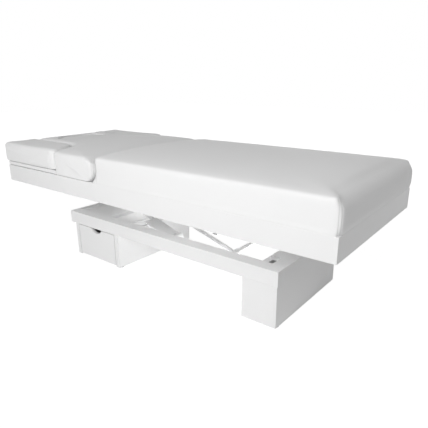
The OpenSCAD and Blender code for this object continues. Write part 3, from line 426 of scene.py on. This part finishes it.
def shell(outline, low, top, edge, crown, middle, heel=0.004, step=0.008):
    """Rings over an outline. Up the wall a ring is drawn in by heel at the bottom, easing to nothing at
    half height. Over the edge it is drawn in by r (1 - cos a) and rises by r sin a, where the radius r
    may differ from point to point. Inside, rings shrink to the middle and take their height from crown."""
    line = evenly(outline, step)
    count = len(line)
    ahead, behind = np.roll(line, -1, 0), np.roll(line, 1, 0)
    way = ahead - behind
    out = np.stack([way[:, 1], -way[:, 0]], 1) / np.linalg.norm(way, axis=1)[:, None]
    radius = np.broadcast_to(edge(line) if callable(edge) else edge, count)
    drawn = np.broadcast_to(heel(line) if callable(heel) else heel, count)
    up = np.linspace(0, 1, WALL_RINGS + 1)[:-1, None]
    wall_in = drawn * np.clip(1 - 2.2 * up, 0, 1) ** 2
    wall_z = low + (top - radius - low) * up
    a = np.radians(np.linspace(0, 84, EDGE_RINGS))[:, None]
    draws = np.vstack([wall_in, radius * (1 - np.cos(a))])
    heights = np.vstack([wall_z, top - radius + radius * np.sin(a)])
    rings = line[None] - out[None] * draws[..., None]
    inner = np.linspace(1, 0, TOP_RINGS + 1)[1:-1, None, None]
    tops = middle + (rings[-1] - middle)[None] * inner
    blend = np.clip((1 - inner[..., 0]) * 12, 0, 1)
    lids = heights[-1] + (top - heights[-1]) * blend
    grid = np.concatenate([np.dstack([rings, heights]), np.dstack([tops, lids + np.zeros(tops.shape[:2])])])
    inside = np.arange(len(grid)) >= len(rings)
    grid[inside, :, 2] += crown(grid[inside, :, 0], grid[inside, :, 1])
    return grid


def closed_mesh(name, grid, middle, low, high):
    """Quads between neighbouring rings, and a fan of triangles to a bottom and a top point."""
    rows, count = grid.shape[:2]
    k, i = np.meshgrid(np.arange(rows - 1), np.arange(count), indexing="ij")
    j = (i + 1) % count
    quads = np.stack([k * count + i, k * count + j, (k + 1) * count + j, (k + 1) * count + i], -1)
    ring = np.arange(count)
    ahead = (ring + 1) % count
    bottom, peak = rows * count, rows * count + 1
    last = (rows - 1) * count
    fans = [np.stack([np.full(count, bottom), ahead, ring], 1),
            np.stack([np.full(count, peak), last + ring, last + ahead], 1)]
    points = np.vstack([grid.reshape(-1, 3), [(*middle, low), (*middle, high)]])
    mesh = bpy.data.meshes.new(name)
    mesh.from_pydata(points.tolist(), [], quads.reshape(-1, 4).tolist() + np.vstack(fans).tolist())
    piece = bpy.data.objects.new(name, mesh)
    scene.collection.objects.link(piece)
    return piece


# %% [markdown]
# ## Swelling the pads
# Foam pushes its cover out, so a real pad is never quite flat. That could be painted as height, or
# found by simulation. Here the shell is remeshed evenly and a short cloth run with inner pressure
# swells it while its underside is held. A real cover is stretched tight, so each move is cut short.

# %% Swell a shell with a short cloth run


def places(mesh):
    """The mesh's points as an array of rows."""
    flat = np.empty(len(mesh.vertices) * 3, np.float32)
    mesh.vertices.foreach_get("co", flat)
    return flat.reshape(-1, 3).astype(float)


def worked_out(piece):
    """The piece's mesh with its modifiers applied, as a new mesh."""
    graph = bpy.context.evaluated_depsgraph_get()
    return bpy.data.meshes.new_from_object(piece.evaluated_get(graph))


def settle(piece):
    """Applies every modifier of a piece."""
    made = worked_out(piece)
    piece.modifiers.clear()
    piece.data = made


def swell(piece, voxel, held_below, cap, pressure=4.0):
    """Voxel remesh, 20 frames of cloth under pressure, each move cut to the cap, one subdivision."""
    even = piece.modifiers.new("even", "REMESH")
    even.mode, even.voxel_size = "VOXEL", voxel
    settle(piece)
    start = places(piece.data)
    held = piece.vertex_groups.new(name="held")
    held.add(np.flatnonzero(start[:, 2] < held_below).tolist(), 1.0, "REPLACE")
    cloth = piece.modifiers.new("cover", "CLOTH")
    rules = cloth.settings
    rules.quality, rules.mass = 5, 0.3
    rules.tension_stiffness = rules.compression_stiffness = 25
    rules.shear_stiffness, rules.bending_stiffness = 15, 3
    rules.vertex_group_mass = "held"
    rules.use_pressure, rules.uniform_pressure_force = True, pressure
    rules.effector_weights.gravity = 0
    for frame in range(1, 21):
        scene.frame_set(frame)
    moved = places(worked_out(piece)) - start
    piece.modifiers.remove(cloth)
    piece.vertex_groups.clear()
    scene.frame_set(1)
    length = np.linalg.norm(moved, axis=1)
    moved *= np.minimum(1, cap / np.maximum(length, 1e-9))[:, None]
    piece.data.vertices.foreach_set("co", (start + moved).astype(np.float32).ravel())
    print(piece.name, len(start), "points, moved up to", round(float(length.max()) * 1000, 1), "mm")
    smooth = piece.modifiers.new("smooth", "SUBSURF")
    smooth.levels = smooth.render_levels = 1
    settle(piece)
    piece.data.polygons.foreach_set("use_smooth", [True] * len(piece.data.polygons))
    return piece


def trim(piece, base):
    """Cuts a pad off flat at its base and closes it there, so that its lower edge is crisp."""
    shape = bmesh.new()
    shape.from_mesh(piece.data)
    everything = shape.verts[:] + shape.edges[:] + shape.faces[:]
    cut = bmesh.ops.bisect_plane(shape, geom=everything, plane_co=(0, 0, base), plane_no=(0, 0, 1),
                                 clear_inner=True)
    rim = [part for part in cut["geom_cut"] if isinstance(part, bmesh.types.BMEdge)]
    bmesh.ops.holes_fill(shape, edges=rim, sides=0)
    bmesh.ops.recalc_face_normals(shape, faces=shape.faces)
    shape.to_mesh(piece.data)
    shape.free()
    piece.data.polygons.foreach_set("use_smooth", [True] * len(piece.data.polygons))
    piece.data.set_sharp_from_angle(angle=math.radians(60))


def prism(name, outline, low, high):
    """A straight-walled block over an outline, used as a cutter."""
    count = len(outline)
    points = [(x, y, z) for z in (low, high) for x, y in outline]
    ring = np.arange(count)
    ahead = (ring + 1) % count
    walls = np.stack([ring, ahead, ahead + count, ring + count], 1).tolist()
    mesh = bpy.data.meshes.new(name)
    mesh.from_pydata(points, [], walls + [ring[::-1].tolist(), (ring + count).tolist()])
    made = bpy.data.objects.new(name, mesh)
    scene.collection.objects.link(made)
    return made


def cut_out(piece, cutter):
    """Takes the cutter's space out of a piece, and keeps the new edge crisp."""
    cut = piece.modifiers.new("cut", "BOOLEAN")
    cut.operation, cut.object, cut.solver = "DIFFERENCE", cutter, "EXACT"
    settle(piece)
    bpy.data.objects.remove(cutter)
    piece.data.polygons.foreach_set("use_smooth", [True] * len(piece.data.polygons))
    piece.data.set_sharp_from_angle(angle=math.radians(40))


# %% [markdown]
# ## Leatherette
# The cover is satin white vinyl. Plain white with one gloss looks like plastic sheet; a photographed
# texture would not fit another size. Cell noise at two scales makes the embossed grain, and slow noise
# makes the soft waves that foam leaves under it.

# %% White leatherette


ROW_OFF = 0.0045


def sewn_corners(place, corners):
    """Two masks: stitched rows, pressed in 4.5 mm either side of each corner's diagonal, whose colour also
    gets painted shade, and puckers.
    A corner is its x, its distance from the middle in y, and the ways that lead out of the pad."""
    x, y = (place.node("ShaderNodeSeparateXYZ", None, {"Vector": place}, out=axis) for axis in "XY")
    apart = y.maths("ABSOLUTE", y)
    rows = puckers = 0.0
    for corner_x, corner_y, way_x, way_y in corners:
        out_x, out_y = (x - corner_x) * way_x, (apart - corner_y) * way_y
        diagonal = (out_x - out_y) * 0.7071
        off = diagonal.maths("ABSOLUTE", diagonal) - ROW_OFF
        off = off.maths("ABSOLUTE", off)
        near = out_x.above(-0.032, 0.008) * out_y.above(-0.032, 0.008)
        rows = near * (1 - off.above(0.0009, 0.0016)) + rows
        puckers = near * place.stretched(60, 60, 260).noise(1.0, 2.0) + puckers
    return rows, puckers


def leatherette(name, shade, corners):
    """Pebbled vinyl: cells of 1.2 mm pressed 0.06 mm deep, fine pores, slow waves of the foam, and stitched
    rows pressed in and darkened as painted shade.
    """
    made, place = finish_of(name, Specular_IOR_Level=0.42)
    cells = place.node("ShaderNodeTexVoronoi", {"feature": "SMOOTH_F1"}, {"Vector": place, "Scale": 800.0})
    pores = place.noise(2600, 1.0)
    waves = place.noise(9, 2.0)
    rows, puckers = sewn_corners(place, corners)
    height = cells * 0.00006 + pores * 0.00001 + waves * 0.0009 + puckers * 0.0006 - rows * 0.0008
    colour = (place.noise(3, 2.0) * 0.7 + cells * 0.3).tint([s * 0.965 for s in shade], shade)
    # Painted shade: the stitched rows are darkened halfway to 0.7 of the vinyl's white, standing in for the
    # shade in their grooves.
    colour = (rows * 0.5).tint(colour, [s * 0.7 for s in shade])
    rough = waves * 0.06 + cells * 0.08 + 0.42
    return feed(made, Base_Color=colour, Roughness=rough, Normal=place.bump(height))


VINYL = (0.87, 0.87, 0.87)
NOSE_TIP = HINGE_X + NOSE_R
MAIN_CORNERS = [(PAD_END, PAD_Y, 1, 1), (SEAM_X, PAD_Y, -1, 1)]
BACK_CORNERS = [(NOSE_TIP, PAD_Y, 1, 1), (-PAD_END, PAD_Y - ARM_W - 0.002, -1, 1)]
ARM_CORNERS = [(-PAD_END, PAD_Y, -1, 1), (-PAD_END, PAD_Y - ARM_W, -1, -1)]
main_vinyl = leatherette("mattress_leatherette", VINYL, MAIN_CORNERS)
back_vinyl = leatherette("back_leatherette", VINYL, BACK_CORNERS)
arm_vinyl = leatherette("arm_leatherette", VINYL, ARM_CORNERS)

# %% Make the five pads


def main_crown(x, y):
    """22 mm higher in the middle, falling as a steep power towards the sides and the foot, and by half
    towards the head end, where the pad leans over the seam."""
    u = (x - (SEAM_X + PAD_END) / 2) / ((PAD_END - SEAM_X) / 2)
    fall = np.where(u > 0, 1, 0.5) * np.abs(u) ** 8
    return MAIN_CROWN * (1 - fall) * (1 - np.abs(y / PAD_Y) ** 2.8)


def back_crown(x, y):
    """14 mm higher over most of the T, falling to nothing at its head end, its sides and the seam."""
    u = (x + PAD_END) / (NOSE_START + PAD_END) * 2 - 1
    return BACK_CROWN * (1 - np.clip(np.abs(u), 0, 1) ** 9) * (1 - np.abs(y / PAD_Y) ** 5)


def foot_share(line):
    """0 along the sides, easing to 1 along the foot edge."""
    foot = np.clip((line[:, 0] - (PAD_END - 0.034)) / 0.03, 0, 1)
    return foot * foot * (3 - 2 * foot)


def roll(line):
    """56 mm along the foot edge, easing to 14 mm at the sides."""
    return SIDE_ROLL + FOOT_ROLL_MORE * foot_share(line)


def main_heel(line):
    """How far the cover is drawn in at the bottom: 1 mm at the sides and 16 mm at the foot."""
    return SIDE_HEEL + FOOT_HEEL_MORE * foot_share(line)


def lip(grid):
    """Leans the head end over the seam: near it, x moves by -lean s(z) (1 - |y / side|^2.5), where s rises
    from 0 at the hinge's height to 1 at the top, and the wall's own top follows the crown. Below the
    hinge the wall is hollow and follows the back pad's round end at x = hinge + sqrt(r^2 - (hinge - z)^2)."""
    x, y, z = (grid[..., i].copy() for i in range(3))
    share = np.clip((z - HINGE_Z) / (MAIN_TOP - HINGE_Z), 0, 1) ** 2
    middle = 1 - np.abs(y / PAD_Y) ** 2.5
    close = np.clip((SEAM_X + 0.06 - x) / 0.06, 0, 1)
    reach = SEAM_X + 0.001 - HINGE_X
    hollow = np.sqrt(reach ** 2 - np.clip(HINGE_Z - np.maximum(z, LIP_LOW), 0, reach) ** 2) - reach
    grid[..., 0] = x + (hollow - LEAN * share * middle) * close
    wall = (np.arange(len(grid)) < WALL_RINGS + EDGE_RINGS)[:, None]
    grid[..., 2] = np.where(wall, z + RISE * share * middle * close, grid[..., 2])
    return grid


def nose(grid):
    """Past the start of the nose, x is squeezed so that the end stays inside the circle about the hinge,
    and near the top inside the slope x = start + ease + lean (top - z)."""
    height = np.minimum(grid[..., 2], PAD_TOP)
    round_end = HINGE_X + np.sqrt(np.clip(NOSE_R ** 2 - (height - HINGE_Z) ** 2, 0, None))
    slope = NOSE_START + NOSE_EASE + NOSE_LEAN * (PAD_TOP - height)
    reach = (np.minimum(round_end, slope) - NOSE_START) / (HINGE_X + NOSE_R - NOSE_START)
    squeezed = NOSE_START + (grid[..., 0] - NOSE_START) * np.maximum(reach, 0.02)
    grid[..., 0] = np.where(grid[..., 0] > NOSE_START, squeezed, grid[..., 0])
    return grid


UNDER = 0.008


def pad(name, grid, middle, body, voxel, cap, cover):
    """A swollen pad, trimmed where the grid's lowest ring plus the spare 8 mm lies."""
    low, high = grid[0, :, 2].min(), grid[-1, :, 2].max()
    piece = closed_mesh(name, grid, middle, low, high + 0.0002)
    swell(piece, voxel, low + UNDER + 0.003, cap)
    trim(piece, low + UNDER)
    piece.data.materials.append(cover)
    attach(piece, body)
    return piece


middle = np.array([(SEAM_X + PAD_END) / 2, 0.0])
main_outline = rounded_box(SEAM_X + 0.001, PAD_END, 0.005 - PAD_Y, PAD_Y - 0.005, 0.022, 0.022)
main_grid = lip(shell(main_outline, SKIRT_TOP - UNDER, MAIN_TOP, roll, main_crown, middle, heel=main_heel))
mattress = pad("mattress_cover", main_grid, middle, "carriage", 0.010, 0.003, main_vinyl)
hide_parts("main_mattress")

# %% [markdown]
# ## The back section's pads
# Here the photograph shows a T-shaped pad with an oval plug in it and a loose pad at each arm. One mesh
# with lines painted on it would be simpler, but the arm pads and the plug lift out, so each is its own
# closed pad. The T's hole for the plug is cut after the swelling, so that its wall stays crisp.

# %% Back pad, arm pads and face plug


def low_crown(x, y):
    """The arm pads and the plug are flat on top, 9 mm above the edge."""
    return LOW_CROWN + 0 * x


def seam_edge(line):
    """A 9 mm edge outside, a tighter 6 mm one beside the arm pads, and a fuller 13 mm one at the seam."""
    inner = (np.abs(line[:, 1]) < PAD_Y - 0.02) & (line[:, 0] < ARM_ROUND_END)
    seam = np.clip((line[:, 0] - HINGE_X) / 0.03, 0, 1)
    return np.where(inner, 0.006, 0.009) + 0.004 * seam


back_middle = np.array([-0.45, 0.0])
back_grid = nose(shell(back_outline(), LIP_LOW - UNDER, PAD_TOP, seam_edge, back_crown, back_middle,
                       heel=0.003))
back = pad("back_cover", back_grid, back_middle, "back_section", 0.008, 0.002, back_vinyl)
cut_out(back, prism("plug_hole", oval(0.003), LIP_LOW - 0.01, PAD_TOP + 0.05))
# Seen from the pad, the bed's hinge ear turns from straight down towards the seam as the back tilts by
# 60 degrees, so the slot round it is as wide as that sweep.
PAST, BELOW = NOSE_TIP + 0.01, LIP_LOW - 0.01
shoulder = HINGE_Z + EAR_ROOM * 2 - (PAST - HINGE_X) * math.tan(math.pi / 6)
ear = np.vstack([arc((HINGE_X, HINGE_Z), EAR_ROOM, EAR_ROOM, 60, 180),
                 [(HINGE_X - EAR_ROOM, BELOW), (PAST, BELOW), (PAST, shoulder)]])
for side in (-1, 1):
    cutter = prism("hinge_slot", ear, *sorted((-side * SLOT[0], -side * SLOT[1])))
    cutter.data.transform(Matrix.Rotation(math.pi / 2, 4, "X"))
    cut_out(back, cutter)
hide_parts("back_pad")

arm_middle = np.array([-0.76, ARM_W / 2 - PAD_Y])
near_grid = shell(arm_outline(), ARM_LOW - UNDER, PAD_TOP, 0.005, low_crown, arm_middle)
near_arm = pad("arm_cover_near", near_grid, arm_middle, "arm_rest_near", 0.006, 0.002, arm_vinyl)
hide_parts("arm_pad_near")

far_arm = bpy.data.objects.new("arm_cover_far", near_arm.data.copy())
scene.collection.objects.link(far_arm)
far_points = places(far_arm.data) * [1, -1, 1]
far_arm.data.vertices.foreach_set("co", far_points.astype(np.float32).ravel())
far_arm.data.flip_normals()
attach(far_arm, "arm_rest_far")
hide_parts("arm_pad_far")

plug_middle = np.array([PLUG_X, 0.0])
plug_grid = shell(oval(-0.001), BOARD_TOP + 0.0006 - UNDER, PAD_TOP, 0.008, low_crown, plug_middle)
plug = pad("plug_cover", plug_grid, plug_middle, "face_plug", 0.005, 0.0015, back_vinyl)
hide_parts("face_plug")

# %% [markdown]
# ## Stitches at the corners
# The cover's panels meet at each upright corner, with a row of stitches on either side of the fold. A
# dashed line in the material would do from afar, but thread stands proud and catches light, so each
# stitch is a small arched thread. One stitch is worked out, and all are laid on the pad in one array.

# %% Sew the upright corners
STITCH, PITCH, THREAD = 0.0036, 0.0050, 0.00042


def stitches(name, seats, along, out):
    """A tapered six-sided thread of 5 rings per seat, whose points are
    seat + along t + out (arch cos + r sin) + side r cos."""
    t = np.linspace(-0.5, 0.5, 5)[:, None]
    a = np.radians(np.arange(6) * 60.0)[None]
    r = THREAD * (1 - 0.75 * (2 * t) ** 4)
    lift = 0.0003 * np.cos(np.pi * t) + r * np.sin(a)
    side = np.cross(along, out)
    rings = (seats[:, None, None] + along[:, None, None] * (STITCH * t + 0 * a)[None, ..., None]
             + out[:, None, None] * lift[None, ..., None]
             + side[:, None, None] * (r * np.cos(a))[None, ..., None])
    k, i = np.meshgrid(np.arange(4), np.arange(6), indexing="ij")
    j = (i + 1) % 6
    quads = np.stack([k * 6 + i, k * 6 + j, (k + 1) * 6 + j, (k + 1) * 6 + i], -1).reshape(-1, 4)
    starts = np.arange(len(seats))[:, None, None] * 30
    caps = np.stack([np.arange(6)[::-1], np.arange(24, 30)])
    mesh = bpy.data.meshes.new(name)
    mesh.from_pydata(rings.reshape(-1, 3).tolist(), [], (starts + quads).reshape(-1, 4).tolist()
                     + (starts + caps).reshape(-1, 6).tolist())
    piece = bpy.data.objects.new(name, mesh)
    scene.collection.objects.link(piece)
    return piece


def sewn_rows(pad_piece, corners, low, high):
    """Seats of both rows at each corner: rays sent in along the diagonal meet the pad's own surface."""
    tree = BVHTree.FromObject(pad_piece, bpy.context.evaluated_depsgraph_get())
    seats, along, out = [], [], []
    for x, y, way in corners:
        inward = np.array([-way[0], -way[1], 0]) / math.sqrt(2)
        for off in (-ROW_OFF, ROW_OFF):
            start = np.array([x, y, 0]) - inward * 0.1 + np.array([inward[1], -inward[0], 0]) * off
            hits = [tree.ray_cast(Vector((*start[:2], z)), Vector(inward))
                    for z in np.arange(low, high, PITCH)]
            hits = [hit for hit in hits if hit[0] is not None]
            spots = np.array([hit[0] for hit in hits])
            steps = np.gradient(spots, axis=0)
            seats.append(spots)
            along.append(steps / np.linalg.norm(steps, axis=1)[:, None])
            out.append(np.array([hit[1] for hit in hits]))
    seats, along, out = (np.concatenate(part) for part in (seats, along, out))
    out -= along * (along * out).sum(1)[:, None]
    return seats, along, out / np.linalg.norm(out, axis=1)[:, None]


thread = moulded("white_thread", (0.80, 0.80, 0.80), 0.5)
SEWN = [("mattress_stitches", mattress, "carriage", SKIRT_TOP + 0.006, MAIN_TOP - 0.006,
         [(x, y, (wx, math.copysign(1, y)))
          for x, wx in ((PAD_END, 1), (SEAM_X, -1)) for y in (-PAD_Y, PAD_Y)]),
        ("back_stitches", back, "back_section", LIP_LOW + 0.005, PAD_TOP - 0.012,
         [(NOSE_TIP, y, (1, math.copysign(1, y))) for y in (-PAD_Y, PAD_Y)]),
        ("arm_stitches_near", near_arm, "arm_rest_near", ARM_LOW + 0.005, PAD_TOP - 0.006,
         [(-PAD_END, -PAD_Y, (-1, -1)), (-PAD_END, ARM_W - PAD_Y, (-1, 1))]),
        ("arm_stitches_far", far_arm, "arm_rest_far", ARM_LOW + 0.005, PAD_TOP - 0.006,
         [(-PAD_END, PAD_Y, (-1, 1)), (-PAD_END, PAD_Y - ARM_W, (-1, -1))])]
for name, sewn_pad, body, low, high, corners in SEWN:
    row = stitches(name, *sewn_rows(sewn_pad, corners, low, high))
    row.data.materials.append(thread)
    row.data.polygons.foreach_set("use_smooth", [True] * len(row.data.polygons))
    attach(row, body)
    print(name, len(row.data.polygons), "faces")

# %% [markdown]
# ## A cover in the tray
# Between the tray's head plate and the lift lies a light cover that hides the wiring. It could be one
# more flat box, but pressed covers have a stiffening rim that catches light, so its height is a function
# over a grid: flat, with a raised bead just inside its border.

# %% Press the tray's cover
BEAD, RIM = 0.0015, 0.012


def cover(x0, x1, half, base, thick):
    """Two sheets over one grid: the top at base + thick + bead sin^2 (pi times the way across the rim),
    the lower one at the base, joined by a wall round the border."""
    x, y = np.meshgrid(np.linspace(x0, x1, 49), np.linspace(-half, half, 97), indexing="ij")
    edge = np.minimum(np.minimum(x - x0, x1 - x), np.minimum(y + half, half - y))
    z = base + thick + BEAD * np.sin(np.pi * np.clip(edge / RIM, 0, 1)) ** 2
    sheets = np.stack([np.dstack([x, y, z]), np.dstack([x, y, base + 0 * z])])
    at = np.arange(x.size).reshape(x.shape)
    quads = np.stack([at[:-1, :-1], at[1:, :-1], at[1:, 1:], at[:-1, 1:]], -1).reshape(-1, 4)
    rim = np.concatenate([at[:, 0], at[-1, 1:], at[-2::-1, -1], at[0, -2:0:-1]])
    ahead = np.roll(rim, -1)
    walls = np.stack([rim, rim + x.size, ahead + x.size, ahead], 1)[:, ::-1]
    mesh = bpy.data.meshes.new("tray_cover")
    mesh.from_pydata(sheets.reshape(-1, 3).tolist(), [],
                     np.vstack([quads, quads[:, ::-1] + x.size, walls]).tolist())
    return mesh


plate_high, rails_high, cabinet_high = (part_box(name)[1] for name in
                                        ("tray_head_plate", "base_rails", "cabinet_top"))
tray_cover = bpy.data.objects.new("tray_cover", cover(plate_high[0] + 0.001, cabinet_high[0] - 0.001,
                                                      rails_high[1] - 0.002, rails_high[2] + 0.0002, 0.003))
scene.collection.objects.link(tray_cover)
tray_cover.data.materials.append(coat)
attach(tray_cover, "base")
print("cover:", len(tray_cover.data.polygons), "faces")

# %% [markdown]
# ## Eased edges
# No real board or tube has a perfectly sharp edge: laminate edging is trimmed by about a millimetre, and
# powder coat rounds over steel. A bump can't change an outline, so a small bevel is put on each solid.
# It comes last, so that the cloth runs above don't wait for it.

# %% Ease the edges of boards and steel
for name in [n for n in nodes if n not in SOFT_NODES]:
    weld = nodes[name].modifiers.new("weld", "WELD")
    weld.merge_threshold = 0.00001
    ease = nodes[name].modifiers.new("eased_edges", "BEVEL")
    ease.width = 0.0012 if name in BOARD_NODES else 0.0006
    ease.segments, ease.limit_method = 2, "ANGLE"
    ease.angle_limit = math.radians(40)
    ease.use_clamp_overlap = True
